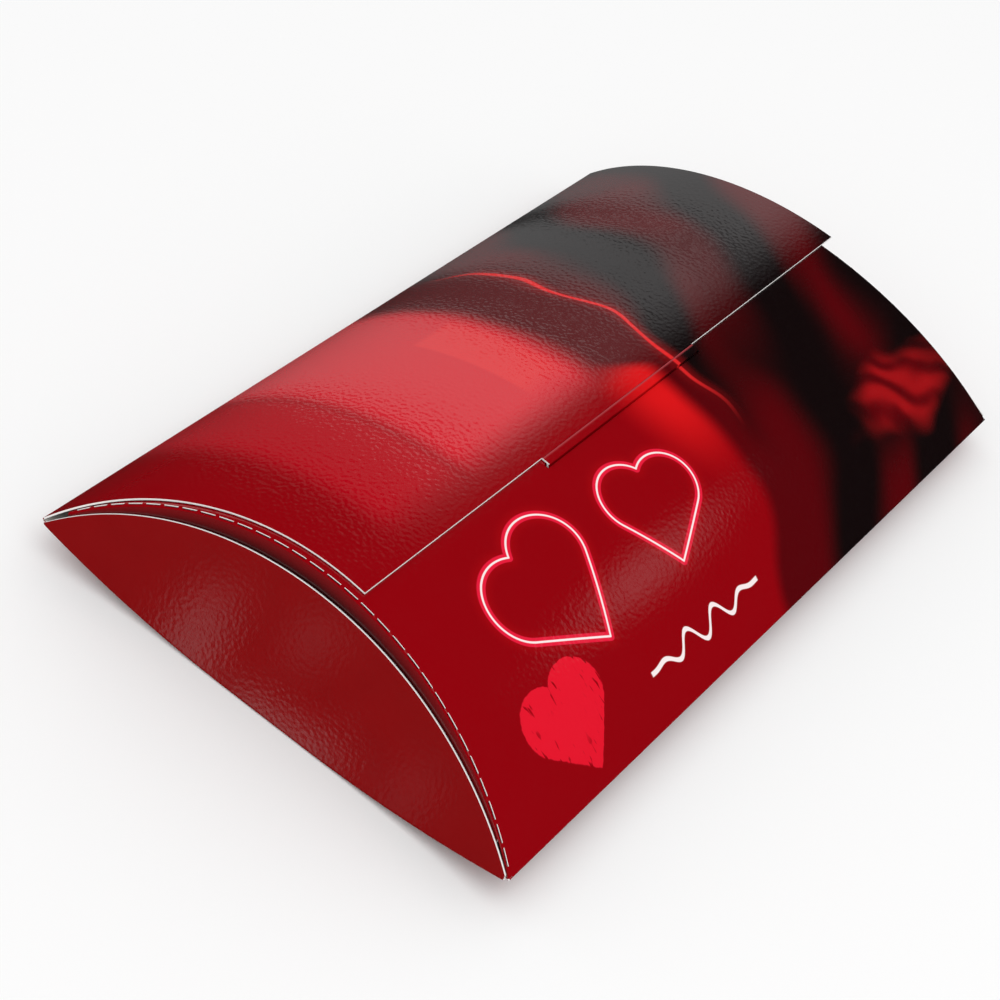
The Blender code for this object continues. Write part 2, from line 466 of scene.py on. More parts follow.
class Nodes:
    """Short words for wiring up a material."""

    def __init__(self, name):
        self.material = bpy.data.materials.new(name)
        self.material.use_nodes = True
        self.tree = self.material.node_tree
        self.shader = self.tree.nodes["Principled BSDF"]

    def add(self, kind, **settings):
        node = self.tree.nodes.new(kind)
        for key, value in settings.items():
            setattr(node, key, value)
        return node

    def join(self, source, target):
        if hasattr(source, "is_output"):
            self.tree.links.new(source, target)
        else:
            target.default_value = source

    def join_colour(self, colour, target):
        self.join((*colour, 1) if isinstance(colour, tuple) else colour, target)

    def maths(self, operation, first, second=0.0, third=0.0, clamp=False):
        node = self.add("ShaderNodeMath", operation=operation, use_clamp=clamp)
        for socket, value in zip(node.inputs, (first, second, third)):
            self.join(value, socket)
        return node.outputs[0]

    def times(self, value, *others):
        """The product of all the values."""
        for other in others:
            value = self.maths("MULTIPLY", value, other)
        return value

    def line(self, value, slope, start):
        """The start, and the slope times the value on top of it."""
        return self.maths("MULTIPLY_ADD", value, slope, start)

    def vector(self, operation, first, second=(0, 0, 0)):
        node = self.add("ShaderNodeVectorMath", operation=operation)
        self.join(first, node.inputs[0])
        self.join(second, node.inputs[1])
        return node.outputs["Value"] if operation in ("LENGTH", "DISTANCE") else node.outputs[0]

    def step(self, value, low, high):
        """Rises smoothly from 0 to 1 as the value goes from low to high."""
        node = self.add("ShaderNodeMapRange", interpolation_type="SMOOTHSTEP")
        self.join(value, node.inputs["Value"])
        node.inputs["From Min"].default_value = low
        node.inputs["From Max"].default_value = high
        return node.outputs["Result"]

    def fade(self, value, low, high):
        """Falls smoothly from 1 to 0 as the value goes from low to high."""
        return self.maths("SUBTRACT", 1.0, self.step(value, low, high))

    def band(self, value, rise, fall):
        """A share that rises from 0 to 1 over one stretch of the value and falls back over another."""
        return self.times(self.step(value, *rise), self.fade(value, *fall))

    def mix(self, share, first, second):
        """Blends from the first colour to the second by a share."""
        node = self.add("ShaderNodeMix", data_type="RGBA")
        self.join(share, node.inputs["Factor"])
        self.join_colour(first, self.colour_socket(node.inputs, "A"))
        self.join_colour(second, self.colour_socket(node.inputs, "B"))
        return self.colour_socket(node.outputs, "Result")

    def colour_socket(self, sockets, name):
        return next(socket for socket in sockets if socket.type == "RGBA" and socket.name == name)

    def sheet_map(self):
        return self.add("ShaderNodeUVMap", uv_map="sheet_map").outputs[0]

    def pair(self, x, y):
        node = self.add("ShaderNodeCombineXYZ")
        self.join(x, node.inputs[0])
        self.join(y, node.inputs[1])
        return node.outputs[0]

    def split(self, vector):
        node = self.add("ShaderNodeSeparateXYZ")
        self.join(vector, node.inputs[0])
        return node.outputs[0], node.outputs[1]

    def noise(self, vector, size, detail):
        """Cloudy noise from 0 to 1 with clouds of this size in metres."""
        node = self.add("ShaderNodeTexNoise")
        self.join(vector, node.inputs["Vector"])
        node.inputs["Scale"].default_value = 1 / size
        node.inputs["Detail"].default_value = detail
        return node.outputs["Fac"]

    def sway(self, vector, size, reach):
        """A slow wander about 0, up to about this far both ways."""
        return self.times(self.maths("SUBTRACT", self.noise(vector, size, detail=1.0), 0.5), 2 * reach)

    def bump(self, height, depth):
        """Bumps of this depth in metres."""
        node = self.add("ShaderNodeBump")
        self.join(height, node.inputs["Height"])
        node.inputs["Distance"].default_value = depth
        node.inputs["Strength"].default_value = 1.0
        self.tree.links.new(node.outputs["Normal"], self.shader.inputs["Normal"])

    def finish(self, colour, roughness):
        self.join_colour(colour, self.shader.inputs["Base Color"])
        self.join(roughness, self.shader.inputs["Roughness"])
        return self.material


def laminate(nodes, place, roughness, ripple):
    """Gloss film: even roughness with faint cloud, and a fine ripple that shows at the edge of a light."""
    nodes.shader.inputs["IOR"].default_value = film_ior
    nodes.bump(nodes.noise(place, ripple_size, ripple_detail), ripple)
    cloud = nodes.noise(place, cloud_size, detail=2.0)
    return nodes.line(cloud, slope=cloud_range, start=roughness - cloud_range / 2)


def heart(nodes, place, tip, size, turn):
    """Distance in metres to the outline of a heart of this size, less than 0 inside it.

    A unit heart stands on its tip. Its sides rise at 45 degrees to two round lobes, which meet in the cleft.
    """
    mapping = nodes.add("ShaderNodeMapping", vector_type="TEXTURE")
    nodes.join(place, mapping.inputs["Vector"])
    mapping.inputs["Location"].default_value = (*tip, 0)
    mapping.inputs["Rotation"].default_value = (0, 0, turn)
    mapping.inputs["Scale"].default_value = (size, size, size)
    x, y = nodes.split(mapping.outputs[0])
    x = nodes.maths("ABSOLUTE", x)
    point = nodes.pair(x, y)
    total = nodes.maths("ADD", x, y)
    lobe_middle = (0.25, 0.75, 0)
    lobe_radius = math.sqrt(2) / 4
    lobe = nodes.maths("SUBTRACT", nodes.vector("DISTANCE", point, lobe_middle), lobe_radius)
    cleft = nodes.vector("DISTANCE", point, (0, 1, 0))
    half = nodes.times(nodes.maths("MAXIMUM", total, 0.0), 0.5)
    side = nodes.vector("DISTANCE", point, nodes.pair(half, half))
    outward = nodes.maths("SIGN", nodes.maths("SUBTRACT", x, y))
    below = nodes.times(nodes.maths("MINIMUM", cleft, side), outward)
    is_lobe = nodes.maths("GREATER_THAN", total, 1.0)
    spread = nodes.add("ShaderNodeMix", data_type="FLOAT")
    for name, value in (("Factor", is_lobe), ("A", below), ("B", lobe)):
        nodes.join(value, spread.inputs[name])
    return nodes.times(spread.outputs[0], size)


def neon_hearts(nodes, place, colour):
    """Hearts bent from red neon tube, each with a thin white line inside its curve."""
    large = heart(nodes, place, large_heart_tip, size=0.032, turn=0.30)
    small = heart(nodes, place, small_heart_tip, size=0.027, turn=-0.28)
    away = nodes.maths("MINIMUM", nodes.maths("ABSOLUTE", large), nodes.maths("ABSOLUTE", small))
    halo = nodes.fade(away, low=0.0010, high=0.0040)
    tube = nodes.fade(away, low=0.00105, high=0.00130)
    core = nodes.fade(away, low=0.00016, high=0.00036)
    colour = nodes.mix(nodes.times(halo, tube_halo_share), colour, glow_red)
    colour = nodes.mix(tube, colour, neon_red)
    return nodes.mix(core, colour, neon_white)


def stamped_heart(nodes, place, colour):
    """A solid heart, put on with a worn stamp that leaves fine streaks bare."""
    ragged = nodes.sway(place, size=0.0016, reach=0.0003)
    inside = nodes.maths("ADD", heart(nodes, place, stamp_tip, size=0.0245, turn=0.10), ragged)
    streaks = nodes.noise(nodes.vector("MULTIPLY", place, (1.0, 0.22, 0)), size=0.0011, detail=1.0)
    ink = nodes.fade(inside, low=-0.0002, high=0.0002)
    worn_away = nodes.step(streaks, low=0.62, high=0.70)
    bare = nodes.times(worn_away, nodes.step(inside, low=-0.0075, high=-0.0015))
    return nodes.mix(nodes.maths("SUBTRACT", ink, bare, clamp=True), colour, stamp_red)


def white_flourish(nodes, place, colour):
    """A hand-drawn white wave whose swing dies away at both ends."""
    along, across = nodes.split(place)
    swell = nodes.band(along, rise=(-0.052, -0.034), fall=(-0.020, -0.002))
    wave = nodes.maths("SINE", nodes.times(along, math.tau / flourish_pitch))
    height = nodes.line(nodes.times(wave, swell), slope=flourish_swing, start=flourish_line)
    away = nodes.maths("ABSOLUTE", nodes.maths("SUBTRACT", across, height))
    stroke = nodes.fade(away, low=0.00055, high=0.00080)
    ends = nodes.band(along, rise=(-0.0520, -0.0515), fall=(-0.0025, -0.0020))
    return nodes.mix(nodes.times(stroke, ends), colour, neon_white)


def front_glow(nodes, place, colour):
    """A soft red glow at the middle of the front, which ends under the lid: a painted highlight."""
    across = nodes.split(place)[1]
    away = nodes.vector("DISTANCE", nodes.vector("MULTIPLY", place, glow_stretch), glow_middle)
    on_front = nodes.fade(across, low=-0.009, high=-0.001)
    return nodes.mix(nodes.times(nodes.fade(away, low=0.001, high=0.019), on_front), colour, glow_red)


def lit_sheen(nodes, place, colour):
    """Broad lighter fields of red across the lid, as if light lay over it between two window bars."""
    along, across = nodes.split(place)
    bright = nodes.band(along, rise=(-0.060, -0.050), fall=(-0.004, 0.004))
    dim = nodes.times(nodes.band(along, rise=(-0.090, -0.079), fall=(-0.060, -0.050)), dim_field_share)
    on_lid = nodes.step(across, low=-0.008, high=0.005)
    colour = nodes.mix(nodes.times(nodes.maths("MAXIMUM", bright, dim), on_lid), colour, lit_red)
    inner = nodes.band(along, rise=(-0.019, -0.0175), fall=(-0.006, 0.0))
    upper = nodes.band(across, rise=(0.002, 0.010), fall=(0.042, 0.045))
    return nodes.mix(nodes.times(inner, upper, inner_field_share), colour, line_red)


def dark_cloth(nodes, place):
    """Cloth in the dark: wide soft folds of maroon and black, deeper towards the front."""
    along, across = nodes.split(place)
    slant = nodes.line(across, slope=-0.5, start=along)
    run = nodes.maths("ADD", slant, nodes.sway(place, size=0.07, reach=0.03))
    wave = nodes.maths("SINE", nodes.line(run, slope=math.tau / cloth_fold_pitch, start=0.6))
    cloth = nodes.mix(nodes.step(wave, low=-0.75, high=1.0), night, dark_maroon)
    shade = nodes.step(nodes.noise(place, size=0.050, detail=0.0), low=0.42, high=0.62)
    depth = nodes.line(nodes.step(across, low=-0.035, high=0.005), slope=-0.60, start=0.88)
    return nodes.mix(nodes.times(shade, depth), cloth, night)


def satin_heap(nodes, place, colour):
    """A heap of red satin in narrow folds, with an uneven outline, by the far front corner."""
    along, across = nodes.split(place)
    reach = nodes.vector("MULTIPLY", nodes.vector("SUBTRACT", place, satin_middle), satin_tightness)
    away = nodes.maths("ADD", nodes.vector("LENGTH", reach), nodes.sway(place, size=0.02, reach=0.5))
    slant = nodes.line(across, slope=0.9, start=along)
    run = nodes.maths("ADD", slant, nodes.sway(place, size=0.026, reach=0.020))
    wave = nodes.maths("SINE", nodes.times(run, math.tau / satin_fold_pitch))
    crest = nodes.maths("ADD", wave, nodes.sway(place, size=0.009, reach=0.7))
    satin = nodes.mix(nodes.step(crest, low=-1.5, high=1.2), dark_maroon, satin_red)
    return nodes.mix(nodes.fade(away, low=0.4, high=1.1), colour, satin)


def printed_ground(nodes, place):
    """Red with a painted highlight glowing on the front and painted sheen on the lid, and dark cloth towards
    the far end with a lit seam.
    """
    along, across = nodes.split(place)
    colour = lit_sheen(nodes, place, front_glow(nodes, place, red))
    bulge = nodes.band(across, rise=(-0.085, -0.050), fall=(-0.011, 0.002))
    border = nodes.maths("SUBTRACT", along, nodes.line(bulge, slope=0.0145, start=0.0030))
    border = nodes.maths("ADD", border, nodes.sway(place, size=0.040, reach=0.004))
    colour = nodes.mix(nodes.step(border, low=-0.003, high=0.004), colour, dark_maroon)
    wander = nodes.sway(place, size=0.034, reach=0.009)
    seam = nodes.maths("ADD", nodes.maths("SUBTRACT", along, seam_line), wander)
    cloth = satin_heap(nodes, place, dark_cloth(nodes, place))
    colour = nodes.mix(nodes.step(seam, low=-0.004, high=0.005), colour, cloth)
    away = nodes.maths("ABSOLUTE", seam)
    fading = nodes.band(across, rise=(-0.040, -0.010), fall=(0.050, 0.080))
    halo = nodes.fade(away, low=0.0004, high=0.0040)
    colour = nodes.mix(nodes.times(halo, fading, seam_halo_share), colour, satin_red)
    thread = nodes.fade(away, low=0.0003, high=0.0009)
    return nodes.mix(nodes.times(thread, fading), colour, line_red)


def make_art_print(name):
    """The ground with the motifs of the front on it."""
    nodes = Nodes(name)
    place = nodes.sheet_map()
    colour = neon_hearts(nodes, place, printed_ground(nodes, place))
    colour = stamped_heart(nodes, place, colour)
    colour = white_flourish(nodes, place, colour)
    return nodes.finish(colour, laminate(nodes, place, art_film, art_ripple))


def make_tab_print(name):
    """The ground alone, with a pale line along the crease where the tab leaves the lid: film pressed pale,
    and a painted highlight on the fold.
    """
    nodes = Nodes(name)
    place = nodes.sheet_map()
    across = nodes.split(place)[1]
    crease = nodes.step(across, low=tab_crease_line - tab_crease_width, high=tab_crease_line)
    colour = nodes.mix(crease, printed_ground(nodes, place), pale_fold_highlight)
    return nodes.finish(colour, laminate(nodes, place, art_film, art_ripple))


def make_plain_print(name, colour, ripple):
    """Laminated print of one ink, with the faint mottle that the press leaves."""
    nodes = Nodes(name)
    place = nodes.sheet_map()
    mottle = nodes.noise(place, mottle_size, detail=3.0)
    ink = nodes.mix(mottle, dimmed(colour, mottle_shade), colour)
    return nodes.finish(ink, laminate(nodes, place, plain_film, ripple))


def make_shaded_inner_print(name):
    """Red at the perforated crease, with painted shade that takes it to near black further down the flap."""
    nodes = Nodes(name)
    place = nodes.sheet_map()
    down = nodes.split(place)[1]
    # Painted shade: the fade to near black down the flap
    ink = nodes.mix(nodes.step(down, low=-0.0004, high=0.0054), strip_red, night)
    return nodes.finish(ink, laminate(nodes, place, inner_film, plain_ripple))


def make_board_finish(name, colour, fibre):
    """Bare board with short fibres in it."""
    nodes = Nodes(name)
    place = nodes.add("ShaderNodeTexCoord").outputs["Object"]
    fibres = nodes.noise(place, fibre, detail=4.0)
    nodes.bump(fibres, fibre_depth)
    return nodes.finish(nodes.mix(fibres, dimmed(colour, fibre_shade), colour), bare_roughness)


def make_slit_core(name):
    """The core in a perforation: white along its upper half, and in shadow below, where the slit closes."""
    nodes = Nodes(name)
    place = nodes.add("ShaderNodeTexCoord").outputs["Object"]
    spoke = nodes.vector("MULTIPLY", nodes.vector("SUBTRACT", place, (0, 0, arch_centre_z)), (0, 1, 1))
    above = nodes.maths("SUBTRACT", nodes.vector("LENGTH", spoke), top_arch.radius)
    fibres = nodes.noise(place, edge_fibre, detail=4.0)
    core = nodes.mix(fibres, dimmed(edge_white, fibre_shade), edge_white)
    shaded = nodes.mix(nodes.step(above, low=-slit_shade, high=0.0), night, core)
    return nodes.finish(shaded, bare_roughness)


art_print = make_art_print("gloss_art_print")
tab_print = make_tab_print("gloss_tab_print")
bottom_print = make_plain_print("gloss_red_print", red, plain_ripple)
flap_print = make_plain_print("gloss_flap_print", flap_red, flap_ripple)
shaded_inner_print = make_shaded_inner_print("maroon_print_with_painted_shade")
bare_back = make_board_finish("bare_board_back", back_white, back_fibre)
cut_edge = make_board_finish("white_cut_edge", edge_white, edge_fibre)
slit_core = make_slit_core("shaded_slit_core")


# Sheets

def add_lid():
    lid = roll_sheet("lid_sheet", lid_arch)
    rear_y = lid_arch.width_at(half_width, -rear_fold.tangent)
    cut_away((0, -lid_reach, 0), (0, -1, 0))
    cut_away((0, rear_y, 0), (0, 1, 0))
    crease = (top_end_x, 0, crease_height)
    cut_away((-crease[0], 0, crease[2]), (-1, 0, (top_sag + lid_near_inset) / lid_rise))
    cut_away(crease, (1, 0, (top_sag - lid_far_overhang) / lid_rise))
    for side in (-1, 1):
        score((side * tab_width / 2, 0, 0), (1, 0, 0))
    stop_editing()

    def is_cut(point):
        leads_into_tab = abs(point.x) < tab_width / 2 and point.y < board - lid_reach
        return point.y < rear_y - board and not leads_into_tab

    face_outward(lid, away_from_middle)
    map_sheet(lid, arch_measure(lid_arch))
    make_board(lid, art_print, is_cut, cut_edge)
    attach(lid, "lid")
    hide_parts("lid")


class Fold:
    """A long crease: a small round bend, tangent to the arch above it and to the bottom panel."""

    def __init__(self, arch, curve):
        self.arch = arch
        self.side = curve.side
        slope = arch.angle(half_width)
        self.tangent = fold_radius / math.tan((slope + curve.slope) / 2)
        corner = Vector((0, curve.side * half_width, bottom_level + curve.rise))
        upper = Vector((0, -curve.side * math.cos(slope), math.sin(slope)))
        lower = Vector((0, -curve.side * math.cos(curve.slope), -math.sin(curve.slope)))
        self.points = bend_points(corner, upper, lower, 2 * fold_steps)


rear_fold = Fold(lid_arch, bottom_rear)
front_fold = Fold(top_arch, bottom_front)


def add_long_fold(name, fold):
    """The printed bend of a long crease, from the arch to the bottom panel."""
    arch_end = fold.arch.radius * fold.arch.angle(half_width) - fold.tangent
    top = fold.points[0].z

    def place(column, row):
        return fold.points[row] + Vector(((2 * column - 1) * top_end_x, 0, 0))

    def measure(point):
        return point.x, fold.side * (arch_end + top - point.z)

    strip = lay_grid(name, 2, len(fold.points), place)
    face_outward(strip, away_from_middle)
    map_sheet(strip, measure)
    make_board(strip, art_print, lambda point: abs(point.x) > top_end_x - merge_distance, cut_edge)
    return strip


def add_rear_fold():
    strip = add_long_fold("rear_fold", rear_fold)
    start = rear_fold.points[-1]
    end = rear_fold.points[0]
    tuple(start)
    tuple(end)
    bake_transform(strip)


def add_front_fold():
    strip = add_long_fold("front_fold", front_fold)
    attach(strip, "base")


# Lid's front edge, the slot below it and the circle on which the tab swings out of the slot
tab_crease_angle = lid_arch.angle(-lid_reach)
slot_angle = tab_crease_angle - tab_step / top_arch.radius
slot_y = top_arch.radius * math.sin(slot_angle)
swing_y = slot_y - half_width
swing_z = top_arch.height(slot_y) - crease_height
swing_radius = math.hypot(swing_y, swing_z)
swing_start = math.atan2(swing_z, -swing_y)


def swing_point(lift):
    """A point on the tab's circle about the rear crease, this far above the slot along the circle."""
    angle = swing_start + lift / swing_radius
    return half_width - swing_radius * math.cos(angle), crease_height + swing_radius * math.sin(angle)


def add_top_panel():
    panel = roll_sheet("top_panel_sheet", top_arch)
    front_y = -top_arch.width_at(half_width, -front_fold.tangent)
    rear_y = top_arch.width_at(half_width, -hidden_edge_setback)
    cut_away((0, front_y, 0), (0, -1, 0))
    cut_away((0, rear_y, 0), (0, 1, 0))
    for side in (-1, 1):
        crease = (side * (inner_flap_x - fold_reach), 0, front_height)
        cut_away(crease, (side, 0, top_sag / top_rise))
    half_slot = half_board + slot_side_clearance
    half_length = tab_width / 2 + slot_end_clearance
    slot_sides = [top_arch.width_at(slot_y, shift) for shift in (-half_slot, half_slot)]
    for y in slot_sides:
        score((0, y, 0), (0, 1, 0))
    for side in (-1, 1):
        score((side * half_length, 0, 0), (1, 0, 0))
    stop_editing()
    drop_faces(panel, lambda point: abs(point.x) < half_length and slot_sides[0] < point.y < slot_sides[1])
    face_outward(panel, away_from_middle)
    map_sheet(panel, arch_measure(top_arch))
    make_board(panel, art_print, lambda point: point.y > rear_y - board, cut_edge)
    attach(panel, "base")
    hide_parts("top_panel")


def add_bottom_panel():
    """The flat strip that the box stands on, spun up at both sides and trimmed to the end creases."""
    bpy.ops.object.select_all(action="DESELECT")
    bpy.ops.mesh.primitive_plane_add(size=1, location=(0, 0, bottom_level))
    panel = bpy.context.object
    panel.scale = (box_length, resting_width, 1)
    name_piece("bottom_panel_sheet")
    for curve, fold in ((bottom_front, front_fold), (bottom_rear, rear_fold)):
        def is_outer(edge):
            ends = [panel.data.vertices[n].co.y * curve.side for n in edge.vertices]
            return min(ends) > resting_width / 2 - half_board

        pick(panel, "EDGE", is_outer)
        centre = (0, curve.side * resting_width / 2, bottom_level + curve.radius)
        sweep = curve.slope - fold.tangent / curve.radius
        steps = round(curve.radius * sweep / flap_step)
        bpy.ops.mesh.spin(steps=steps, angle=-curve.side * sweep, center=centre, axis=(1, 0, 0))
        bpy.ops.mesh.select_mode(type="VERT")
        stop_editing()
    start_editing(panel)
    for side in (-1, 1):
        low = (side * (bottom_end_x - bottom_sag - end_trim), 0, bottom_level)
        cut_away(low, (side, 0, -bottom_sag / bottom_rear.rise))
    stop_editing()
    face_outward(panel, lambda point: Vector((0, 0, -1)))
    map_sheet(panel, lambda point: (point.x, point.y))
    make_board(panel, bottom_print, lambda point: False, cut_edge)
    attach(panel, "base")
    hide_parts("bottom_panel")


def add_lock_tab():
    """Steps forward from the lid's edge, bends and follows its circle down through the slot."""
    start = tab_crease_angle - tab_hairline / lid_radius
    bend = tab_crease_angle - tab_step / lid_radius
    straight_depth = tab_depth - tab_corner
    section = []
    for n in range(tab_step_rows + 1):
        angle = start + (bend - start) * n / tab_step_rows
        section.append((lid_radius * math.sin(angle), arch_centre_z + lid_radius * math.cos(angle)))
    depths = [straight_depth * n / tab_drop_rows for n in range(tab_drop_rows + 1)]
    section += [swing_point(tab_bend_lift - depth) for depth in (*depths, tab_depth)]
    edge_y, edge_z = section[0]
    corner_z = section[-2][1] - half_board

    def place(column, row):
        y, z = section[row]
        return Vector(((column / tab_columns - 0.5) * tab_width, y, z))

    def measure(point):
        return point.x, point.y + point.z - edge_y - edge_z + tab_crease_line

    tab = lay_grid("lock_tab_sheet", tab_columns + 1, len(section), place)
    pick(tab, "VERT", lambda vertex: abs(vertex.co.x) > tab_width / 2 - half_board and vertex.co.z < corner_z)
    bpy.ops.mesh.bevel(offset=tab_corner * tab_corner_trim, segments=tab_corner_steps, affect="VERTICES")
    stop_editing()
    face_outward(tab, lambda point: Vector((0, -1, 1)))
    map_sheet(tab, measure)
    make_board(tab, tab_print, lambda point: point.y < edge_y - merge_distance, cut_edge)
    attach(tab, "lock_tab")
    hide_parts("lock_tab")


# Ends

def flap_widths(relief):
    """Widths at which an end flap is drawn, from its front tip to its rear tip."""
    limit = half_width - relief
    count = round(2 * limit / flap_step)
    return [limit * math.sin(math.pi / 2 * (2 * n / count - 1)) for n in range(count + 1)]


# Into the box from its right end, where the ends are drawn before they are mirrored
inward = Vector((-1, 0, 0))


def mirrored(point, side):
    return Vector((side * point.x, point.y, point.z))


def flap_share(row, fine):
    """How far down a flap a row of vertices lies, with a narrow row of this share along both edges."""
    if row in (0, flap_rows - 1):
        return row / (flap_rows - 1)
    return fine + (1 - 2 * fine) * (row - 1) / (flap_rows - 3)


def add_flap(name, side, widths, bounds_at, finish):
    """A flap of straight lines between two curved edges, mapped by its width and its depth."""
    def place(column, row):
        first, last = bounds_at(widths[column])
        fine = min(fine_row / (last - first).length, widest_fine_share)
        return mirrored(first.lerp(last, flap_share(row, fine)), side)

    def measure(point):
        first, _ = bounds_at(point.y)
        return point.y, (mirrored(point, side) - first).length

    flap = lay_grid(name, len(widths), flap_rows, place)
    face_outward(flap, lambda point: Vector((side, 0, 0)))
    map_sheet(flap, measure)
    make_bending_board(flap, finish, len(widths))
    return flap


def outer_flap_bounds(y):
    up = wall_up(y, outer_flap_x)
    head = wall_head(y, outer_flap_x)
    return wall_foot(y, outer_flap_x) + up * fold_drop, head - up * outer_edge_drop * top_bow(y)


def inner_flap_bounds(y):
    head = wall_head(y, inner_flap_x)
    down = -wall_up(y, inner_flap_x)
    return head + down * fold_drop / math.cos(top_arch.angle(y)), head + down * inner_depth * top_bow(y)


def crease_blend(piece, side, bounds_at):
    """Bakes where the flap stands into its mesh."""
    start = mirrored(bounds_at(0)[0], side)
    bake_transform(piece)


def add_outer_flap(end_name, side):
    name = "outer_flap_" + end_name
    flap = add_flap(name + "_sheet", side, flap_widths(outer_corner_relief), outer_flap_bounds, flap_print)
    crease_blend(flap, side, outer_flap_bounds)
    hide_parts("outer_end_flap_" + end_name)


def add_inner_flap(end_name, side):
    name = "inner_flap_" + end_name
    flap = add_flap(name + "_sheet", side, flap_widths(inner_end_relief), inner_flap_bounds, shaded_inner_print)
    crease_blend(flap, side, inner_flap_bounds)
    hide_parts("inner_end_flap_" + end_name)


def add_top_crease(end_name, side):
    """The perforated crease: cuts that bare the board, with printed bridges bent down to the flap."""
    pitch = perforation_cut + perforation_bridge
    front = top_arch.radius * top_arch.angle(-half_width) + front_fold.tangent
    rear = top_arch.radius * top_arch.angle(half_width) - hidden_edge_setback
    count = math.floor((rear - front - perforation_bridge) / pitch)
    margin = (rear - front - count * pitch - perforation_bridge) / 2
    stations = []
    cuts = []
    for n in range(count + 1):
        start = front + margin + n * pitch
        stations += [start, start + perforation_bridge / 2, start + perforation_bridge]
        if n < count:
            cuts.append((start + perforation_bridge, start + pitch))
            stations += [start + perforation_bridge + perforation_cut * share for share in cut_shares]
    stations = [front, *stations, rear]

    def row_points(along):
        y = top_arch.radius * math.sin(along / top_arch.radius)
        head = wall_head(y, inner_flap_x)
        down = -wall_up(y, inner_flap_x)
        drop = fold_drop / math.cos(top_arch.angle(y))
        return [head + inward * fold_reach, *bend_points(head, inward, down, fold_steps), head + down * drop]

    rows = [row_points(along) for along in stations]

    def place(column, row):
        return mirrored(rows[column][row], side)

    def in_cut(column, row):
        middle = (stations[column] + stations[column + 1]) / 2
        return 1 <= row <= cut_rows and any(first < middle < last for first, last in cuts)

    def is_core(point):
        head = wall_head(point.y, inner_flap_x)
        return abs(point.x) < head.x - fold_radius / 2 and abs(point.x) > head.x - fold_reach + half_board

    strip = lay_grid("perforated_crease_" + end_name, len(stations), len(rows[0]), place, in_cut)
    face_outward(strip, lambda point: Vector((side, 0, 1)))
    map_sheet(strip, arch_measure(top_arch))
    make_board(strip, art_print, is_core, slit_core)
    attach(strip, "base")


def add_bottom_crease(end_name, side):
    """The curved bottom crease, where the end flap turns up from the bottom panel."""
    widths = flap_widths(outer_corner_relief)

    def row_points(y):
        foot = wall_foot(y, outer_flap_x)
        up = wall_up(y, outer_flap_x)
        return [foot + inward * fold_reach, *bend_points(foot, inward, up, fold_steps), foot + up * fold_drop]

    rows = [row_points(y) for y in widths]

    def place(column, row):
        return mirrored(rows[column][row], side)

    def is_tip(point):
        return abs(point.y) > widths[-1] - merge_distance

    strip = lay_grid("bottom_crease_" + end_name, len(widths), len(rows[0]), place)
    face_outward(strip, lambda point: Vector((side, 0, -1)))
    map_sheet(strip, lambda point: (point.y, point.z))
    make_board(strip, flap_print, is_tip, cut_edge, keep_even=False)
    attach(strip, "base")


add_lid()
add_lock_tab()
add_top_panel()
add_bottom_panel()
add_rear_fold()
add_front_fold()
for end_name, end_side in (("left", -1), ("right", 1)):
    add_outer_flap(end_name, end_side)
    add_inner_flap(end_name, end_side)
    add_top_crease(end_name, end_side)
    add_bottom_crease(end_name, end_side)


# Studio: the floor and its light
floor_size = 8
floor_drop = 0.0001
floor_white = 0.97
floor_roughness = 0.9
ambient = 0.86
key_place = Vector((-0.35, -0.5, 1.5))
key_size = 1.2
key_power = 5

# Tent round the floor, nearly black
tent_radius = 1.6
tent_height = 3.6
tent_middle = 0.6
tent_sides = 96
tent_shade = 0.008
tent_roughness = 0.95

# Lights that the gloss mirrors: how far the bands widen down to the rear, and where the near cards stand
light_steps = 36
ring_spread = 0.188
spread_turn = 110
spread_power = 1.6
near_card_x = -0.25

# Camera, at the photograph's viewing angle
camera_place = (-0.39781, -0.18792, 0.39780)
camera_turns = (46.1989, -11.4346, -52.3233)
camera_lens = 76.515
camera_sensor = 36


def add_floor():
    bpy.ops.object.select_all(action="DESELECT")
    bpy.ops.mesh.primitive_plane_add(size=floor_size, location=(0, 0, -floor_drop))
    floor = name_piece("studio_floor")
    nodes = Nodes("pale_floor")
    nodes.shader.inputs["Specular IOR Level"].default_value = 0.0
    floor.data.materials.append(nodes.finish((floor_white, floor_white, floor_white), floor_roughness))
    floor.visible_glossy = False


def add_world():
    """White to the camera and to glossy rays, and a plain even light to everything else."""
    world = bpy.data.worlds.new("studio")
    bpy.context.scene.world = world
    world.use_nodes = True
    tree = world.node_tree
    background = tree.nodes["Background"]
    background.inputs["Color"].default_value = (1, 1, 1, 1)
    path = tree.nodes.new("ShaderNodeLightPath")
    seen = path.outputs["Is Camera Ray"]
    for name in ("Is Glossy Ray", "Is Transmission Ray"):
        either = tree.nodes.new("ShaderNodeMath")
        either.operation = "MAXIMUM"
        tree.links.new(seen, either.inputs[0])
        tree.links.new(path.outputs[name], either.inputs[1])
        seen = either.outputs[0]
    level = tree.nodes.new("ShaderNodeMapRange")
    tree.links.new(seen, level.inputs["Value"])
    level.inputs["To Min"].default_value = ambient
    level.inputs["To Max"].default_value = 1.0
    tree.links.new(level.outputs["Result"], background.inputs["Strength"])


def seen_by_reflections_only(thing):
    thing.visible_camera = False
    thing.visible_diffuse = False
    thing.visible_transmission = False
    thing.visible_shadow = False


def add_tent():
    """A round dark tent outside the picture, so that the gloss stays deep between the lights."""
    bpy.ops.object.select_all(action="DESELECT")
    bpy.ops.mesh.primitive_cylinder_add(
        vertices=tent_sides, radius=tent_radius, depth=tent_height, location=(0, 0, tent_middle))
    tent = name_piece("studio_tent")
    nodes = Nodes("dark_cloth")
    tent.data.materials.append(nodes.finish((tent_shade, tent_shade, tent_shade), tent_roughness))
    seen_by_reflections_only(tent)


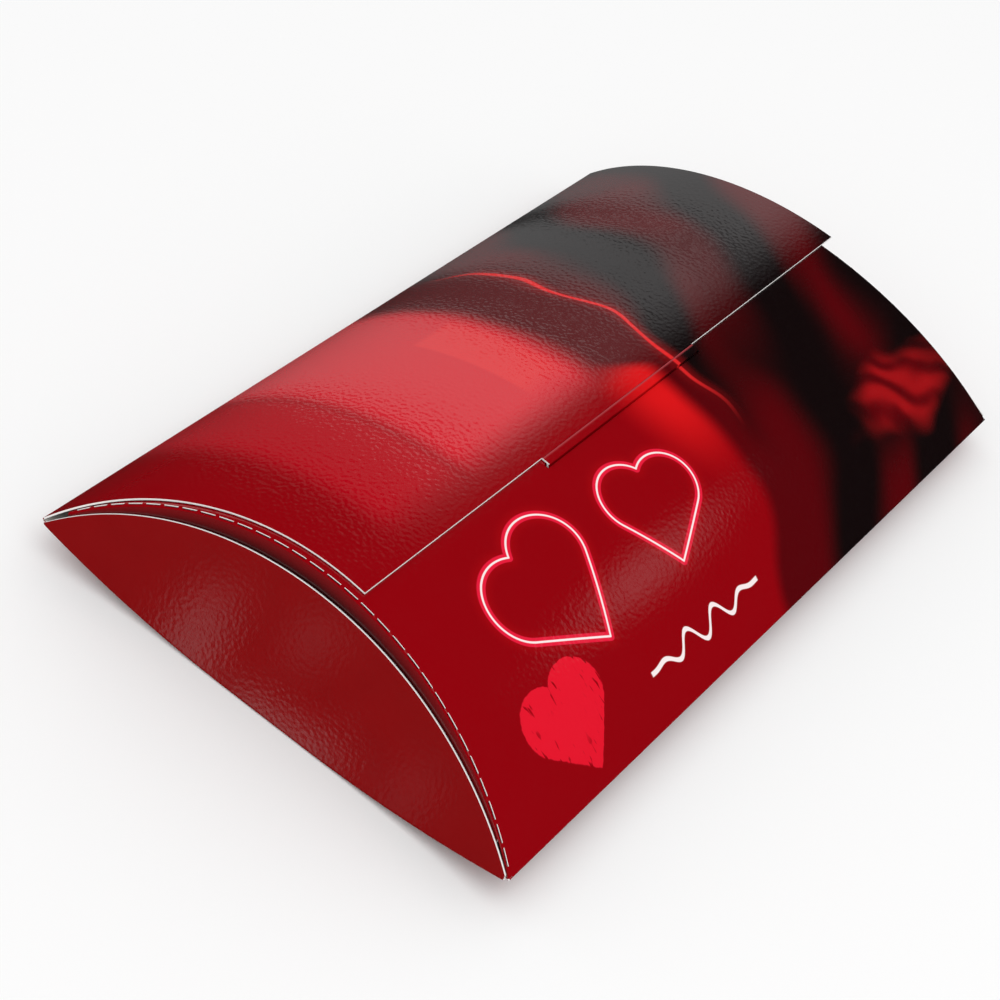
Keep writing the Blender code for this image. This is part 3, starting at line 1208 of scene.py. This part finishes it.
def soft_light_finish(name, strength, profile):
    """A glowing face that fades in and out both ways, by its own light map from 0 to 1."""
    nodes = Nodes(name)
    nodes.tree.nodes.remove(nodes.shader)
    ways = nodes.split(nodes.add("ShaderNodeUVMap", uv_map="light_map").outputs[0])
    share = strength
    for way, (full, fading) in zip(ways, profile):
        share = nodes.times(nodes.band(way, rise=(0.0, full), fall=(fading, 1.0)), share)
    glow = nodes.add("ShaderNodeEmission")
    nodes.join(share, glow.inputs["Strength"])
    clear = nodes.add("ShaderNodeBsdfTransparent")
    both = nodes.add("ShaderNodeAddShader")
    nodes.join(glow.outputs[0], both.inputs[0])
    nodes.join(clear.outputs[0], both.inputs[1])
    nodes.join(both.outputs[0], nodes.tree.nodes["Material Output"].inputs["Surface"])
    return nodes.material


def add_soft_light(name, place, strength, profile):
    """A light face whose map has one corner at place(0, 0) and the opposite one at place(1, 1)."""
    light = lay_grid(name, light_steps + 1, 2, lambda column, row: place(column / light_steps, row))
    light.data.uv_layers.remove(light.data.uv_layers[0])
    layer = light.data.uv_layers.new(name="light_map")
    for corner in light.data.loops:
        row, column = divmod(corner.vertex_index, light_steps + 1)
        layer.data[corner.index].uv = (column / light_steps, row)
    light.data.materials.append(soft_light_finish(name, strength, profile))
    seen_by_reflections_only(light)


def add_ring_light(name, x, inner, outer, turns, strength):
    """A light on an upright plane beyond the far end, which the lid mirrors as a band straight across it.

    Its inner and outer rims each fade between two radii, given at the crown. Its turns are in degrees from
    the crown down to the rear: it fades in from the first to the second, and out again up to the last.
    """
    first, full, last = turns
    reach = outer[1] - inner[0]

    def place(across, up):
        turn = first + (last - first) * across
        angle = math.radians(turn)
        radius = (inner[0] + reach * up) * (1 + ring_spread * (turn / spread_turn) ** spread_power)
        return Vector((x, radius * math.sin(angle), radius * math.cos(angle)))

    around = ((full - first) / (last - first), 0.0)
    outward = ((inner[1] - inner[0]) / reach, (outer[0] - inner[0]) / reach)
    add_soft_light(name, place, strength, (around, outward))


def add_card(name, x, centre, size, strength, fade):
    """A small light face on an upright plane, which lays a patch of light on the board that mirrors it."""
    def place(across, up):
        return Vector((x, centre[0] + (across - 0.5) * size[0], centre[1] + (up - 0.5) * size[1]))

    add_soft_light(name, place, strength, [(share, 1 - share) for share in fade])


def add_key_light():
    """One soft overhead lamp that looks at the box."""
    bpy.ops.object.light_add(type="AREA", location=key_place)
    key = bpy.context.object
    key.name = "overhead_softbox"
    key.data.shape = "SQUARE"
    key.data.size = key_size
    key.data.energy = key_power
    key.rotation_euler = (-key_place).to_track_quat("-Z", "Y").to_euler()


def add_camera():
    bpy.ops.object.camera_add(location=camera_place)
    camera = bpy.context.object
    camera.name = "catalogue_camera"
    camera.data.sensor_width = camera_sensor
    camera.data.lens = camera_lens
    camera.rotation_euler = Euler([math.radians(turn) for turn in camera_turns])
    bpy.context.scene.camera = camera


add_camera()
add_floor()
add_world()
add_tent()

# Rings: distance, the radii at which the inner and outer rim start and end their fade, turns and strength
add_ring_light("wide_band_light", 0.350, (0.19, 0.20), (0.566, 0.594), (6, 24, 145), 0.28)
add_ring_light("middle_band_light", 0.352, (0.377, 0.391), (0.491, 0.501), (12, 32, 145), 0.90)
add_ring_light("far_band_light", 0.354, (0.19, 0.20), (0.258, 0.268), (10, 36, 160), 0.56)
add_ring_light("far_inner_band_light", 0.354, (0.276, 0.286), (0.327, 0.350), (10, 36, 160), 0.56)

# Cards: distance, middle, size, strength, and the share of the width and height that fades at each side
add_card("front_patch_card", 0.356, (-0.304, 0.375), (0.20, 0.20), 0.75, (0.5, 0.5))
add_card("flap_streak_card", near_card_x, (0.082, -0.059), (0.014, 0.076), 1.2, (0.45, 0.45))
add_card("flap_patch_card", near_card_x, (0.054, -0.030), (0.022, 0.034), 0.30, (0.5, 0.5))
add_card("flap_edge_card", near_card_x, (0.051, -0.066), (0.048, 0.028), 1.2, (0.3, 0.4))
add_card("flap_corner_card", near_card_x, (0.016, -0.058), (0.014, 0.050), 0.30, (0.5, 0.5))
add_key_light()
bpy.context.scene.view_settings.view_transform = "Standard"
